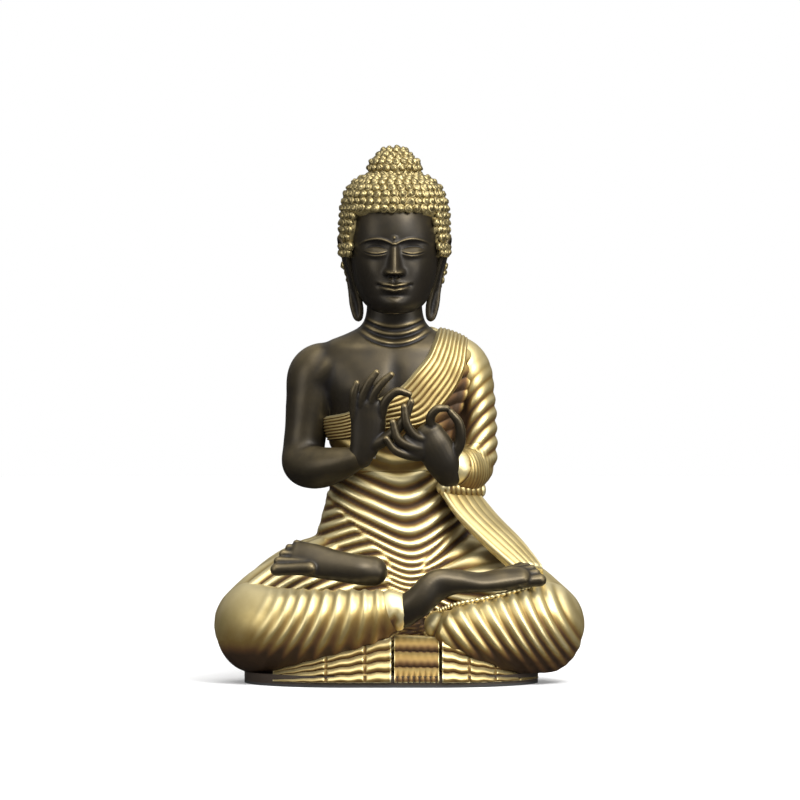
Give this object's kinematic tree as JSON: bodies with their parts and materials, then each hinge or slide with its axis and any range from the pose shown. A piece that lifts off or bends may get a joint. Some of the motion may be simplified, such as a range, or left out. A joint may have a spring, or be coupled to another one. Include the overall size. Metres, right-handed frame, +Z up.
{
  "type": "buddha statue",
  "caption": "Cross-legged seated figure statue in dark and gold cast resin, hands raised in a teaching gesture, flat felted base.",
  "frame": {"origin": "middle of the underside, on the face that rests on the table", "axes": "+Z up, the figure looks along -Y, +X to the figure's left (a viewer's right)"},
  "size_m": [0.23, 0.1486, 0.33],
  "materials": {
    "gold_resin": "satin metallic gold paint over cast resin, dark wash in the folds",
    "dark_resin": "satin dark bronze-brown paint over cast resin",
    "felt": "black felt",
    "board": "plain fibreboard",
    "rubber": "moulded rubber",
    "steel": "plain rod"
  },
  "bodies": {
    "root": {"felt_sheet": "felt", "base_rim": "dark_resin", "base_board": "board", "filling_plug": "rubber", "neck_dowel": "steel", "right_shoulder_dowel": "steel", "left_shoulder_dowel": "steel", "right_wrist_pin": "steel", "left_wrist_pin": "steel", "lap_casting": "gold_resin", "torso_casting": "dark_resin", "robe_wrap": "gold_resin", "shoulder_sash": "gold_resin", "right_leg": "gold_resin", "left_leg": "gold_resin", "right_foot": "dark_resin", "left_foot": "dark_resin", "front_apron": "gold_resin", "right_hem": "gold_resin", "left_hem": "gold_resin", "right_arm": "dark_resin", "left_sleeve": "gold_resin", "left_cuff": "gold_resin", "shawl_end": "gold_resin", "right_hand": "dark_resin", "left_hand": "dark_resin", "head_casting": "dark_resin", "hair_cap": "gold_resin", "topknot": "gold_resin", "right_ear": "dark_resin", "left_ear": "dark_resin"}
  },
  "joints": []
}
